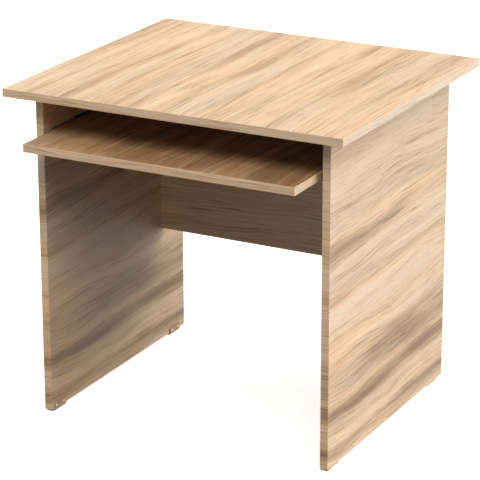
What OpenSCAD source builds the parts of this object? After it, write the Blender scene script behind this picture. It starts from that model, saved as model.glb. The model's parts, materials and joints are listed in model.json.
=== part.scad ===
// Computer desk with a sliding keyboard tray.
// Five laminated boards with glued edge bands, drawn together by cam fittings and dowels.
// The tray runs on a pair of roller slides, and the desk stands on four screwed glides.
// Millimetres. +X is the sitter's right, -Y is towards the sitter and +Z is up.
// The origin lies on the floor at the centre of the footprint, with the tray as it stands.

/* [Desk] */
// Width of the desktop
desk_w = 800; // [660:10:1400]
// Depth of the desktop, front to back
desk_d = 700; // [580:10:900]
// Height of the desktop's upper face
desk_h = 750; // [640:5:900]
// How far the desktop stands out past each side panel
side_overhang = 50; // [0:5:80]
// How far the desktop stands out in front of the side panels
front_overhang = 50; // [0:5:80]
// How far the desktop stands out behind the side panels
rear_overhang = 50; // [0:5:80]

/* [Boards] */
// Thickness of every board
board_t = 18; // [16:0.5:25]
// Thickness of the edge bands
band_t = 1; // [0.6:0.2:2]
// Radius on the outer corners of the edge bands
arris_r = 0.5; // [0.2:0.1:0.5]

/* [Modesty panel] */
// Height of the modesty panel
modesty_h = 450; // [250:10:520]
// How far its rear face lies in from the rear edges of the side panels
modesty_inset = 85; // [40:5:120]

/* [Keyboard tray] */
// Clear height between the tray and the desktop
tray_gap = 80; // [60:5:140]
// How far the tray now stands out in front of the side panels
tray_out = 100; // [0:5:160]
// Gap left between the closed tray and the modesty panel
tray_rear_gap = 67; // [20:1:90]

/* [Roller slides] */
// Gap between each side panel and the tray, filled by a slide
slide_gap = 12.7; // [10.5:0.1:16]
// How far the rails start behind the tray's front edge
rail_setback = 125; // [40:5:140]
// How far the rails end in front of the tray's rear edge
rail_rear_margin = 5; // [2:1:20]
// Sheet thickness of the rails
rail_t = 1.2; // [1:0.1:1.5]
// Diameter of the rollers
roller_d = 18; // [15:0.5:22]
// Diameter of the roller pins
pin_d = 4; // [3:0.5:5]
// Radial running clearance of a roller on its pin
roller_fit = 0.05; // [0.02:0.01:0.1]

/* [Fittings] */
// Diameter of the cam housings
cam_d = 15; // [12:0.5:16]
// Distance from a board's edge to the centre of its cams
cam_reach = 34; // [24:1:40]
// Diameter of the cam bolts' shanks
bolt_d = 7; // [5:0.5:8]
// Diameter of the wooden dowels
dowel_d = 8; // [6:0.5:10]
// Length of the wooden dowels
dowel_l = 30; // [25:1:40]

/* [Feet] */
// Height of the glides under the side panels
foot_h = 4; // [3:0.5:10]
// Length of each glide
foot_l = 55; // [40:1:80]
// Thickness of the upstand on each glide
foot_wall = 2.5; // [1.5:0.5:4]
// Height of that upstand above the glide's sole
foot_rise = 14; // [12:1:25]
// How far the front glides start behind the panels' front edges
foot_front = 3; // [0:1:30]
// How far the rear glides end in front of the panels' rear edges
foot_rear = 22; // [0:1:40]

/* [Hidden] */
$fn = 48;

LEFT = -1;
RIGHT = 1;
eps = 0.01;

// Colours of the real materials
oak_colour = "burlywood";
band_colour = "tan";
rail_colour = "saddlebrown";
steel_colour = "silver";
nylon_colour = "whitesmoke";
foot_colour = "sienna";
beech_colour = "wheat";

// Front-to-back places of the desktop, side panels and tray
tray_ahead = max(0, tray_out - front_overhang);
desk_front_y = (tray_ahead - desk_d) / 2;
desk_rear_y = desk_front_y + desk_d;
panel_front_y = desk_front_y + front_overhang;
panel_rear_y = desk_rear_y - rear_overhang;
modesty_rear_y = panel_rear_y - modesty_inset;
modesty_front_y = modesty_rear_y - board_t;
modesty_mid_y = modesty_rear_y - board_t / 2;
tray_front_y = panel_front_y - tray_out;
tray_d = modesty_front_y - tray_rear_gap - panel_front_y;
tray_rear_y = tray_front_y + tray_d;

// Heights of the boards' faces
desk_under_z = desk_h - board_t;
modesty_z = desk_under_z - modesty_h;
tray_top_z = desk_under_z - tray_gap;
tray_z = tray_top_z - board_t;

// Half widths, from the middle of the desk
outer_x = desk_w / 2 - side_overhang;
inner_x = outer_x - board_t;
panel_mid_x = outer_x - board_t / 2;
tray_x = inner_x - slide_gap;

// Joints between boards
joint_inset = 150;
dowel_inset = 50;
modesty_cam_inset = 60;
modesty_dowel_x = 150;
face_hole = 12;
thread_l = 11;
thread_d = 6;
neck_d = 4;
neck_l = 8;
head_d = 6.4;
head_l = 3;
head_past_neck = 2;
bolt_hole_d = bolt_d + 1;
cam_depth = board_t * 3 / 4;
cam_fit = 0.1;
cam_sink = 0.4;
cam_bore_d = head_d + 0.8;
cam_bore_start = cam_d / 3;
driver_slot = [8, 1.4, 2.4];

// Screws
screw_d = 3.5;
screw_head_d = 7;
screw_head_h = 1.4;
screw_tip = 3;
screw_point_d = 0.6;
screw_cross = [3.6, 0.9, 0.7];
rail_screw_l = 13;
tray_screw_l = 12;
foot_screw_l = 12;

// Cross-section of a slide, measured inwards from the side panel's inner face
pass_gap = 0.6;
lip_gap = 0.5;
roll_gap = 0.3;
end_play = 0.1;
flange_gap = 1.4;
roof_lap = 6;
collar_l = 1;
pin_head_h = 0.6;
pin_head_d = 7;
lip_h = 2.5;
rear_head_u = rail_t + screw_head_h + pass_gap;
rear_roller_u = rear_head_u + pin_head_h + end_play;
tray_web_u = slide_gap - rail_t;
lip_u = tray_web_u - lip_gap - rail_t;
roller_w = lip_u - lip_gap - rear_roller_u;
front_roller_u = rail_t + collar_l;
collar_d = 6;
flange_u = rail_t + flange_gap;
roof_u = flange_u + roof_lap;
tray_flange_w = 14;

// Heights in a slide: the tray's flange runs on the front roller, under the channel's roof
flange_drop = 1;
roof_gap = 0.8;
tray_flange_z = tray_top_z - flange_drop - rail_t;
front_roller_z = tray_flange_z - roll_gap - roller_d / 2;
rear_roller_z = front_roller_z - roll_gap;
channel_floor_z = rear_roller_z - roller_d / 2 - roll_gap;
channel_z = channel_floor_z - rail_t;
channel_roof_z = tray_flange_z + rail_t + roof_gap;
channel_top_z = channel_roof_z + rail_t;

// Front-to-back places in a slide; the two rails line up when the tray is closed
cabinet_rail_y = panel_front_y + rail_setback;
tray_rail_y = tray_front_y + rail_setback;
rail_l = tray_d - rail_setback - rail_rear_margin;
front_pin = 14;
rear_pin = 12;
roof_notch = 30;
stop_h = 7;
stop_gap = 0.5;
roller_spacing = 26;
slide_travel = rail_l - front_pin - rear_pin - roller_d - roller_spacing;
front_stop = rail_l - rear_pin - slide_travel - roller_d / 2 - stop_gap;
rear_stop = rail_l - rear_pin + roller_d / 2 + stop_gap;
cabinet_screw_rear = 30;
tray_screw_front = 20;
tray_screw_rear = 40;
cabinet_screw_y = [roof_notch, rail_l / 2, rail_l - cabinet_screw_rear];
tray_screw_y = [tray_screw_front, rail_l / 2, rail_l - tray_screw_rear];

// Rollers
roller_rim = 2.2;
roller_edge = 0.5;
roller_web = roller_w * 0.4;
roller_holes = 6;
roller_hole_share = 0.6;

// Glides
foot_corner = 5;
foot_step = 1;
foot_screw_pitch = 30;
foot_starts = [panel_front_y + foot_front, panel_rear_y - foot_rear - foot_l];

// ---------------------------------------------------------------- helpers

// A block between two opposite corners
module block(low, high) {
    translate(low) cube(high - low);
}

// A rod that starts at the origin and lies along +Z
module rod(d, l) {
    cylinder(d = d, h = l);
}

// Points local +Z along +X
module aim_x() {
    rotate([0, 90, 0]) children();
}

// Places what is drawn inwards from a side panel's inner face at either side of the desk
module at_side(side) {
    translate([side * inner_x, 0, 0])
        mirror([side > 0 ? 1 : 0, 0, 0])
            children();
}

// Cross-section of an edge band: flat at the board, with two rounded outer corners
module band_outline() {
    square([band_t - arris_r, board_t]);
    translate([0, arris_r]) square([band_t, board_t - 2 * arris_r]);
    for (y = [arris_r, board_t - arris_r])
        translate([band_t - arris_r, y]) circle(r = arris_r);
}

// An edge band that starts at the origin, lies along +X, faces -Y and stands board_t high
module band(l) {
    rotate([90, 0, 90])
        mirror([1, 0, 0])
            linear_extrude(l)
                band_outline();
}

// A flat-headed screw along +Z, with the underside of its head at the origin
module screw(l) {
    rod(screw_d, l - screw_tip);
    translate([0, 0, l - screw_tip]) cylinder(d1 = screw_d, d2 = screw_point_d, h = screw_tip);
    difference() {
        translate([0, 0, -screw_head_h]) rod(screw_head_d, screw_head_h);
        for (a = [0, 90])
            rotate([0, 0, a])
                translate([0, 0, -screw_head_h])
                    cube([screw_cross[0], screw_cross[1], 2 * screw_cross[2]], center = true);
    }
}

module screw_hole(l) {
    translate([0, 0, -eps]) rod(screw_d, l + eps);
}

// ---------------------------------------------------------------- joints between boards

// Where a side panel's top edge meets the desktop: local +Z points up into the desktop
module at_panel_top(side, insets) {
    for (y = [panel_front_y + insets, panel_rear_y - insets])
        translate([side * panel_mid_x, y, desk_under_z])
            rotate([0, 0, side > 0 ? 180 : 0])
                children();
}

// Where the modesty panel's end meets a side panel: local +Z points into the side panel
module at_modesty_end(side, heights) {
    for (z = heights)
        translate([side * inner_x, modesty_mid_y, z])
            rotate([0, side * 90, 0])
                rotate([0, 0, 90])
                    children();
}

modesty_cam_z = [modesty_z + modesty_cam_inset, desk_under_z - modesty_cam_inset];
modesty_dowel_z = [modesty_z + modesty_h / 2];

// Every cam joint: local +Z runs along the bolt into the drilled face, +X out of the cam's mouth
module at_cam_joints() {
    for (side = [LEFT, RIGHT]) {
        at_panel_top(side, joint_inset) children();
        at_modesty_end(side, modesty_cam_z) children();
    }
}

// Every dowel: local +Z runs into the board whose face is drilled
module at_dowels() {
    for (side = [LEFT, RIGHT]) {
        at_panel_top(side, dowel_inset) children();
        at_modesty_end(side, modesty_dowel_z) children();
        translate([side * modesty_dowel_x, modesty_mid_y, desk_under_z]) children();
    }
}

module dowel() {
    translate([0, 0, face_hole - dowel_l]) rod(dowel_d, dowel_l);
}

module cam_bolt() {
    rod(thread_d, thread_l);
    translate([0, 0, neck_l - cam_reach]) rod(bolt_d, cam_reach - neck_l);
    translate([0, 0, -cam_reach]) rod(neck_d, neck_l);
    translate([0, 0, -cam_reach - head_past_neck]) rod(head_d, head_l);
}

// The bolt's hole in the board's edge, and its thread's hole in the other board's face
module cam_bolt_holes() {
    rod(thread_d, thread_l);
    translate([0, 0, -cam_reach]) rod(bolt_hole_d, cam_reach);
}

// Points local +Z out of the cam's mouth, from the board's face
module at_cam_mouth() {
    translate([board_t / 2, 0, -cam_reach]) rotate([0, 90, 0]) children();
}

module cam_pocket() {
    at_cam_mouth() translate([0, 0, -cam_depth]) rod(cam_d + cam_fit, cam_depth + eps);
}

module cam_housing() {
    difference() {
        at_cam_mouth() translate([0, 0, -cam_depth]) rod(cam_d, cam_depth - cam_sink);
        at_cam_mouth()
            for (a = [0, 90])
                rotate([0, 0, a])
                    translate([0, 0, -cam_sink])
                        cube([driver_slot[0], driver_slot[1], 2 * driver_slot[2]], center = true);
        translate([0, 0, -cam_reach - cam_bore_start]) rod(cam_bore_d, cam_d);
    }
}

module joint_holes() {
    at_dowels() dowel();
    at_cam_joints() {
        cam_bolt_holes();
        cam_pocket();
    }
}

// ---------------------------------------------------------------- boards

module desktop() {
    color(oak_colour)
        difference() {
            block([-desk_w / 2 + band_t, desk_front_y + band_t, desk_under_z],
                  [desk_w / 2 - band_t, desk_rear_y - band_t, desk_h]);
            joint_holes();
        }
}

module side_panel(side) {
    color(oak_colour)
        difference() {
            at_side(side)
                block([-board_t, panel_front_y + band_t, foot_h],
                      [0, panel_rear_y - band_t, desk_under_z]);
            joint_holes();
            at_side(side) {
                at_cabinet_screws() screw_hole(rail_screw_l);
                at_foot_screws() screw_hole(foot_screw_l);
            }
        }
}

module modesty_panel() {
    color(oak_colour)
        difference() {
            block([-inner_x, modesty_front_y, modesty_z + band_t],
                  [inner_x, modesty_rear_y, desk_under_z]);
            joint_holes();
        }
}

module keyboard_tray() {
    color(oak_colour)
        difference() {
            block([-tray_x + band_t, tray_front_y + band_t, tray_z],
                  [tray_x - band_t, tray_rear_y, tray_top_z]);
            for (side = [LEFT, RIGHT])
                at_side(side)
                    at_tray_screws() screw_hole(tray_screw_l);
        }
}

// ---------------------------------------------------------------- edge bands

module front_band(half_w, y, z) {
    color(band_colour)
        translate([-half_w, y + band_t, z])
            band(2 * half_w);
}

module rear_band(half_w, y, z) {
    rotate([0, 0, 180]) front_band(half_w, -y, z);
}

// A band on a board's left or right edge, between two places front to back
module flank_band(side, x, y0, y1, z) {
    color(band_colour)
        translate([side * (x - band_t), side > 0 ? y0 : y1, z])
            rotate([0, 0, side * 90])
                band(y1 - y0);
}

// A band on the upright front or rear edge of a side panel
module panel_band(side, at_front) {
    edge_y = at_front ? panel_front_y + band_t : panel_rear_y - band_t;
    color(band_colour)
        translate([side * panel_mid_x, edge_y, foot_h])
            rotate([0, 0, at_front ? 0 : 180])
                translate([board_t / 2, 0, 0])
                    rotate([0, -90, 0])
                        band(desk_under_z - foot_h);
}

module modesty_bottom_edge_band() {
    color(band_colour)
        translate([-inner_x, modesty_rear_y, modesty_z + band_t])
            rotate([90, 0, 0])
                band(2 * inner_x);
}

module tray_flank_band(side) {
    flank_band(side, tray_x, tray_front_y + band_t, tray_rear_y, tray_z);
}

module desktop_flank_band(side) {
    flank_band(side, desk_w / 2, desk_front_y + band_t, desk_rear_y - band_t, desk_under_z);
}

// ---------------------------------------------------------------- joining pieces

module wooden_dowels() {
    color(beech_colour) at_dowels() dowel();
}

module cam_housings() {
    color(steel_colour) at_cam_joints() cam_housing();
}

module cam_bolts() {
    color(steel_colour) at_cam_joints() cam_bolt();
}

// ---------------------------------------------------------------- glides

// A rounded slab, as long as a glide less twice the inset
module foot_slab(inset, z, h) {
    r = foot_corner - inset;
    w = board_t + foot_wall;
    translate([-board_t, 0, z]) {
        translate([inset, foot_corner, 0]) cube([w - 2 * inset, foot_l - 2 * foot_corner, h]);
        translate([foot_corner, inset, 0]) cube([w - 2 * foot_corner, foot_l - 2 * inset, h]);
        for (x = [foot_corner, w - foot_corner])
            for (y = [foot_corner, foot_l - foot_corner])
                translate([x, y, 0]) cylinder(r = r, h = h);
    }
}

// The upstand that is screwed to the panel's inner face, with rounded upper corners
module foot_upstand() {
    top_z = foot_h + foot_rise;
    y0 = foot_corner;
    y1 = foot_l - foot_corner;
    difference() {
        union() {
            block([0, y0, foot_h], [foot_wall, y1, top_z - foot_corner]);
            block([0, y0 + foot_corner, foot_h], [foot_wall, y1 - foot_corner, top_z]);
            for (y = [y0 + foot_corner, y1 - foot_corner])
                translate([0, y, top_z - foot_corner]) aim_x() cylinder(r = foot_corner, h = foot_wall);
        }
        for (y = [-1, 1])
            translate([-eps, foot_l / 2 + y * foot_screw_pitch / 2, foot_h + foot_rise / 2])
                aim_x() rod(screw_d, foot_wall + 2 * eps);
    }
}

module foot(side, start_y) {
    color(foot_colour)
        at_side(side)
            translate([0, start_y, 0]) {
                foot_slab(foot_step, 0, foot_step);
                foot_slab(0, foot_step, foot_h - foot_step);
                foot_upstand();
            }
}

// Local +Z points into the side panel, from the panel's inner face
module at_foot_screws() {
    for (start_y = foot_starts)
        for (y = [-1, 1])
            translate([0, start_y + foot_l / 2 + y * foot_screw_pitch / 2, foot_h + foot_rise / 2])
                rotate([0, -90, 0])
                    children();
}

module foot_screws() {
    color(steel_colour)
        for (side = [LEFT, RIGHT])
            at_side(side)
                at_foot_screws()
                    translate([0, 0, -foot_wall]) screw(foot_screw_l + foot_wall);
}

// ---------------------------------------------------------------- roller slides

// Local +Z points into the side panel, from the panel's inner face
module at_cabinet_screws() {
    for (y = cabinet_screw_y)
        translate([0, cabinet_rail_y + y, (channel_z + channel_top_z) / 2])
            rotate([0, -90, 0])
                children();
}

// Local +Z points up into the tray, from the tray's underside
module at_tray_screws() {
    for (y = tray_screw_y)
        translate([slide_gap + tray_flange_w / 2, tray_rail_y + y, tray_z])
            children();
}

// The channel that is screwed to a side panel
module cabinet_rail(side) {
    y0 = cabinet_rail_y;
    y1 = cabinet_rail_y + rail_l;
    color(rail_colour)
        at_side(side)
            difference() {
                union() {
                    block([0, y0, channel_z], [rail_t, y1, channel_top_z]);
                    block([0, y0, channel_z], [lip_u + rail_t, y1, channel_floor_z]);
                    block([lip_u, y0, channel_z], [lip_u + rail_t, y1, channel_floor_z + lip_h]);
                    block([0, y0 + roof_notch, channel_roof_z], [roof_u, y1, channel_top_z]);
                    for (y = [y0 + front_stop - rail_t, y0 + rear_stop])
                        block([0, y, channel_z], [lip_u, y + rail_t, channel_floor_z + stop_h]);
                }
                at_cabinet_screws() translate([0, 0, -rail_t - eps]) rod(screw_d, rail_t + 2 * eps);
                translate([-eps, y0 + front_pin, front_roller_z]) aim_x() rod(pin_d, rail_t + 2 * eps);
            }
}

module cabinet_rail_screws() {
    color(steel_colour)
        for (side = [LEFT, RIGHT])
            at_side(side)
                at_cabinet_screws()
                    translate([0, 0, -rail_t]) screw(rail_screw_l + rail_t);
}

// The angle under the tray's edge, with the outward flange that runs on the front roller
module tray_rail(side) {
    y0 = tray_rail_y;
    y1 = tray_rail_y + rail_l;
    color(rail_colour)
        at_side(side)
            difference() {
                union() {
                    block([tray_web_u, y0, tray_z - rail_t], [slide_gap, y1, tray_flange_z + rail_t]);
                    block([flange_u, y0, tray_flange_z], [slide_gap, y1, tray_flange_z + rail_t]);
                    block([tray_web_u, y0, tray_z - rail_t], [slide_gap + tray_flange_w, y1, tray_z]);
                }
                at_tray_screws() translate([0, 0, -rail_t - eps]) rod(screw_d, rail_t + 2 * eps);
                translate([tray_web_u - eps, y1 - rear_pin, rear_roller_z])
                    aim_x() rod(pin_d, rail_t + 2 * eps);
            }
}

module tray_rail_screws() {
    color(steel_colour)
        for (side = [LEFT, RIGHT])
            at_side(side)
                at_tray_screws()
                    translate([0, 0, -rail_t]) screw(tray_screw_l + rail_t);
}

// A pin from the panel's side of a rail, with a collar that keeps the roller off the web
module front_roller_pin(side) {
    roller_end = front_roller_u + roller_w + end_play;
    at_side(side)
        translate([0, cabinet_rail_y + front_pin, front_roller_z])
            aim_x() {
                rod(pin_d, roller_end + eps);
                translate([0, 0, rail_t]) rod(collar_d, front_roller_u - end_play - rail_t);
                translate([0, 0, roller_end]) rod(pin_head_d, pin_head_h);
            }
}

module rear_roller_pin(side) {
    roller_end = rear_roller_u + roller_w + end_play;
    at_side(side)
        translate([0, tray_rail_y + rail_l - rear_pin, rear_roller_z])
            aim_x() {
                translate([0, 0, rear_head_u]) rod(pin_d, slide_gap - rear_head_u);
                translate([0, 0, rear_head_u]) rod(pin_head_d, pin_head_h);
                translate([0, 0, roller_end]) rod(collar_d, tray_web_u - roller_end);
            }
}

module front_roller_pins() {
    color(steel_colour)
        for (side = [LEFT, RIGHT])
            front_roller_pin(side);
}

module rear_roller_pins() {
    color(steel_colour)
        for (side = [LEFT, RIGHT])
            rear_roller_pin(side);
}

// A moulded roller along +Z: hub, thin web with lightening holes, and rim
module roller() {
    bore_r = pin_d / 2 + roller_fit;
    hub_r = pin_head_d / 2;
    rim_r = roller_d / 2;
    inside_r = rim_r - roller_rim;
    web_low = (roller_w - roller_web) / 2;
    web_high = web_low + roller_web;
    difference() {
        rotate_extrude()
            polygon([
                [bore_r, 0],
                [hub_r, 0],
                [hub_r, web_low],
                [inside_r, web_low],
                [inside_r, 0],
                [rim_r - roller_edge, 0],
                [rim_r, roller_edge],
                [rim_r, roller_w - roller_edge],
                [rim_r - roller_edge, roller_w],
                [inside_r, roller_w],
                [inside_r, web_high],
                [hub_r, web_high],
                [hub_r, roller_w],
                [bore_r, roller_w]
            ]);
        for (i = [1 : roller_holes])
            rotate([0, 0, i * 360 / roller_holes])
                translate([(hub_r + inside_r) / 2, 0, web_low - eps])
                    rod((inside_r - hub_r) * roller_hole_share, roller_web + 2 * eps);
    }
}

module front_roller(side) {
    color(nylon_colour)
        at_side(side)
            translate([front_roller_u, cabinet_rail_y + front_pin, front_roller_z])
                aim_x() roller();
}

module rear_roller(side) {
    color(nylon_colour)
        at_side(side)
            translate([rear_roller_u, tray_rail_y + rail_l - rear_pin, rear_roller_z])
                aim_x() roller();
}

// ---------------------------------------------------------------- the desk

desktop();
front_band(desk_w / 2, desk_front_y, desk_under_z);  // desktop_front_edge_band
rear_band(desk_w / 2, desk_rear_y, desk_under_z);  // desktop_rear_edge_band
desktop_flank_band(LEFT);  // desktop_left_edge_band
desktop_flank_band(RIGHT);  // desktop_right_edge_band
side_panel(LEFT);  // left_side_panel
side_panel(RIGHT);  // right_side_panel
panel_band(LEFT, true);  // left_panel_front_edge_band
panel_band(LEFT, false);  // left_panel_rear_edge_band
panel_band(RIGHT, true);  // right_panel_front_edge_band
panel_band(RIGHT, false);  // right_panel_rear_edge_band
modesty_panel();
modesty_bottom_edge_band();
wooden_dowels();
cam_housings();
cam_bolts();
foot(LEFT, foot_starts[0]);  // left_front_foot
foot(LEFT, foot_starts[1]);  // left_rear_foot
foot(RIGHT, foot_starts[0]);  // right_front_foot
foot(RIGHT, foot_starts[1]);  // right_rear_foot
foot_screws();
cabinet_rail(LEFT);  // left_cabinet_rail
cabinet_rail(RIGHT);  // right_cabinet_rail
cabinet_rail_screws();
front_roller_pins();
front_roller(LEFT);  // left_front_roller
front_roller(RIGHT);  // right_front_roller
keyboard_tray();
front_band(tray_x, tray_front_y, tray_z);  // tray_front_edge_band
tray_flank_band(LEFT);  // tray_left_edge_band
tray_flank_band(RIGHT);  // tray_right_edge_band
tray_rail(LEFT);  // left_tray_rail
tray_rail(RIGHT);  // right_tray_rail
tray_rail_screws();
rear_roller_pins();
rear_roller(LEFT);  // left_rear_roller
rear_roller(RIGHT);  // right_rear_roller
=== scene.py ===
# %% [markdown]
# # A computer desk with a keyboard tray
#
# This desk is made the way flat-pack furniture is made: five boards of chipboard faced with
# printed oak paper, thin plastic bands glued along their edges, and small metal and plastic
# fittings that hold everything together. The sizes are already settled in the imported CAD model,
# so we load that first and build the looks around it. A piece that keeps its CAD shape gets a
# finish; a fitting whose real shape is finer than its CAD solid gets a new mesh in the same place.
#
# Everything is in metres: +X is the sitter's right, -Y is towards the sitter and +Z is up.

# %% Load the desk
import json
import math

import bmesh
import bpy
from mathutils import Matrix, Vector


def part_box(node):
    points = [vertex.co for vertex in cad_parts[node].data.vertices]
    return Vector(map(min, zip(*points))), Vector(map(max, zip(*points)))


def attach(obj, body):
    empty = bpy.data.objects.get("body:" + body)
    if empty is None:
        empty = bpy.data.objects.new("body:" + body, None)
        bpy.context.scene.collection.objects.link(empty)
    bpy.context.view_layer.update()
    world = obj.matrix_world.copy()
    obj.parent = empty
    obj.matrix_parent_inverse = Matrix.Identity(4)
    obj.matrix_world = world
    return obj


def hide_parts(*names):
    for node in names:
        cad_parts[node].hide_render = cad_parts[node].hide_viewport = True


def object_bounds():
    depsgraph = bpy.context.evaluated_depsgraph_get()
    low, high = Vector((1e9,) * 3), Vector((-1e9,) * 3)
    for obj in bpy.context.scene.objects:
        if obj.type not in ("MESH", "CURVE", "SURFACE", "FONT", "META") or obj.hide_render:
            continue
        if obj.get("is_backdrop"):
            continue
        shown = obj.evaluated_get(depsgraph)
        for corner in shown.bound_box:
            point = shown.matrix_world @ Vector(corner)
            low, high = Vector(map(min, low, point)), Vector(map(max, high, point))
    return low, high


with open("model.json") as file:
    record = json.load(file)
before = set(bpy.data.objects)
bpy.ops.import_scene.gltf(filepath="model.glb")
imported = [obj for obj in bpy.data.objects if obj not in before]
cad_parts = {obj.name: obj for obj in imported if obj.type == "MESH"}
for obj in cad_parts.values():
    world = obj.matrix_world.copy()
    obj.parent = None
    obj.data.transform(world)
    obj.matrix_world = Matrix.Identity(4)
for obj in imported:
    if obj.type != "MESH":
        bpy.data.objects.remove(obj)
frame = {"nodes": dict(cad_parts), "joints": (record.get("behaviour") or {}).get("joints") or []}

NODES = frame["nodes"]
MM = 0.001
cad_low, cad_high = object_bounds()
middle = (cad_low + cad_high) / 2
print("pieces in the frame:", len(NODES))
print("overall size in mm:", [round(size / MM) for size in cad_high - cad_low])

# %% [markdown]
# ## The camera
#
# Furniture is usually shown from a little above and from one side, with a long lens: far away and
# zoomed in, so that upright edges stay nearly upright. We say where the camera stands by its
# direction round the desk, its height angle and its distance, and turn it to look at the middle.

# %% Place the camera
turn = math.radians(28.07)
height_angle = math.radians(19.28)
roll = math.radians(-0.12)
stand_off = 5.162
lens_mm = 175.1
sensor_mm = 36
furthest_seen = 100
aim = middle + Vector((-2.5, -1.7, -0.6)) * MM

outward = Vector((
    math.sin(turn) * math.cos(height_angle),
    -math.cos(turn) * math.cos(height_angle),
    math.sin(height_angle),
))
camera = bpy.data.objects.new("camera", bpy.data.cameras.new("camera"))
camera.data.lens = lens_mm
camera.data.sensor_width = sensor_mm
camera.data.clip_end = furthest_seen
facing = outward.to_track_quat("Z", "Y").to_matrix().to_4x4()
camera.matrix_world = Matrix.Translation(aim + outward * stand_off) @ facing @ Matrix.Rotation(roll, 4, "Z")
bpy.context.scene.collection.objects.link(camera)
bpy.context.scene.camera = camera
print("camera at", [round(place, 3) for place in camera.matrix_world.translation])

# %% [markdown]
# ## The studio
#
# The desk stands on a plain pale floor. Two soft lights do most of the work: the stronger comes
# from the right and a little behind, so the right side is bright and the space under the top stays
# dark, and one from above the front keeps the edges that face us readable. Two weak ones open up
# the shadows, from the left and from low in front. The front ones are a little warm, as a lamp in
# a room is. They are all sun lamps, which light the floor evenly from corner to corner, and a wide
# sun angle makes their shadows as soft as a large studio lamp's. The *Standard* view transform
# keeps colours as we mix them, which makes a pale printed board easy to match.

# %% Set up the studio
WHITE = (1.0, 1.0, 1.0)
WARM = (1.0, 0.91, 0.79)
SHADOW_TINT = (1.0, 0.97, 0.93, 1.0)
SHADOW_LIGHT = 0.018
LIGHTS = [
    # name, direction it comes from, strength, spread in degrees, colour
    ("right_light", (0.8, 0.35, 0.48), 0.95, 70, WHITE),
    ("left_light", (-0.88, 0.3, 0.37), 0.42, 40, WHITE),
    ("front_light", (0.24, -0.57, 0.79), 0.74, 35, WARM),
    ("low_light", (0.3, -0.9, 0.25), 0.04, 40, WARM),
]


def soft_light(name, direction, strength, spread, colour):
    """A sun lamp that shines from a direction, with a spread in degrees that softens its shadows."""
    light = bpy.data.lights.new(name, "SUN")
    light.energy = strength * math.pi
    light.angle = math.radians(spread)
    light.color = colour
    lamp = bpy.data.objects.new(name, light)
    lamp.location = middle + Vector(direction) * stand_off
    lamp.rotation_euler = Vector(direction).to_track_quat("Z", "Y").to_euler()
    bpy.context.scene.collection.objects.link(lamp)


for lamp_settings in LIGHTS:
    soft_light(*lamp_settings)

world = bpy.data.worlds.new("studio")
world.use_nodes = True
surroundings = world.node_tree.nodes["Background"]
surroundings.inputs["Color"].default_value = SHADOW_TINT
surroundings.inputs["Strength"].default_value = SHADOW_LIGHT
bpy.context.scene.world = world
bpy.context.scene.view_settings.view_transform = "Standard"

# %% [markdown]
# ## Writing a finish as a recipe
#
# A material in Blender is a graph of nodes. Building graphs by hand in Python soon gets wordy, so
# this small class keeps the words few: each step adds one node and returns the socket that the
# next step uses. A value may be a plain number, a colour or another step's result.

# %% A recipe for a finish


def paint(code):
    """A colour from the six-figure code of a paint chart, as the linear values that shaders use."""
    parts = [int(code[i:i + 2], 16) / 255 for i in (0, 2, 4)]
    return [p / 12.92 if p <= 0.04045 else ((p + 0.055) / 1.055) ** 2.4 for p in parts] + [1.0]


class Finish:
    """One material, built step by step from the place on the piece to its colour, gloss and relief."""

    def __init__(self, name):
        self.material = bpy.data.materials.new(name)
        self.material.use_nodes = True
        self.tree = self.material.node_tree
        self.shader = self.tree.nodes["Principled BSDF"]
        self.place = self.step("TexCoord").outputs["Object"]

    def step(self, kind, settings=None, **values):
        node = self.tree.nodes.new("ShaderNode" + kind)
        for name, value in (settings or {}).items():
            setattr(node, name, value)
        for name, value in values.items():
            self.put(node.inputs[name.replace("_", " ")], value)
        return node

    def put(self, socket, value):
        if isinstance(value, bpy.types.NodeSocket):
            self.tree.links.new(value, socket)
        else:
            socket.default_value = value

    def sum(self, how, first, second=0.0, third=0.0):
        """Arithmetic on one to three numbers."""
        node = self.step("Math", {"operation": how})
        for socket, value in zip(node.inputs, (first, second, third)):
            self.put(socket, value)
        return node.outputs[0]

    def parts(self, vector):
        """The X, Y and Z of a vector."""
        return self.step("SeparateXYZ", Vector=vector).outputs

    def vector(self, x=0.0, y=0.0, z=0.0):
        return self.step("CombineXYZ", X=x, Y=y, Z=z).outputs[0]

    def noise(self, vector, scale=1.0, detail=2.0, rough=0.5):
        """Soft cloudy noise, which mostly lies between 0.25 and 0.75."""
        node = self.step("TexNoise", Vector=vector, Scale=scale, Detail=detail, Roughness=rough)
        return node.outputs["Fac"]

    def between(self, value, low, high, to_low=0.0, to_high=1.0):
        """Turns the stretch from low to high into the stretch from to_low to to_high, and clips it."""
        node = self.step("MapRange", {"clamp": True}, Value=value)
        for name, number in zip(("From Min", "From Max", "To Min", "To Max"), (low, high, to_low, to_high)):
            self.put(node.inputs[name], number)
        return node.outputs[0]

    def ramp(self, value, stops, how="LINEAR"):
        """A colour that depends on a value: stops are (value, colour) pairs."""
        node = self.step("ValToRGB", Fac=value)
        band = node.color_ramp
        band.interpolation = how
        while len(band.elements) < len(stops):
            band.elements.new(0.5)
        for element, (position, colour) in zip(band.elements, stops):
            element.position = position
            element.color = colour
        return node.outputs["Color"]

    def mix(self, amount, first, second, how="MIX"):
        """Blends two colours."""
        node = self.step("Mix", {"data_type": "RGBA", "blend_type": how})
        for socket, value in ((0, amount), (6, first), (7, second)):
            self.put(node.inputs[socket], value)
        return node.outputs[2]

    def relief(self, height, depth):
        """Small dents and ridges, in metres, that only bend the light."""
        bump = self.step("Bump", Height=height, Distance=depth)
        self.put(self.shader.inputs["Normal"], bump.outputs[0])

    def set(self, **values):
        for name, value in values.items():
            self.put(self.shader.inputs[name.replace("_", " ")], value)
        return self


print("paint chart check:", [round(v, 3) for v in paint("D6BDA0")])

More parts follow.
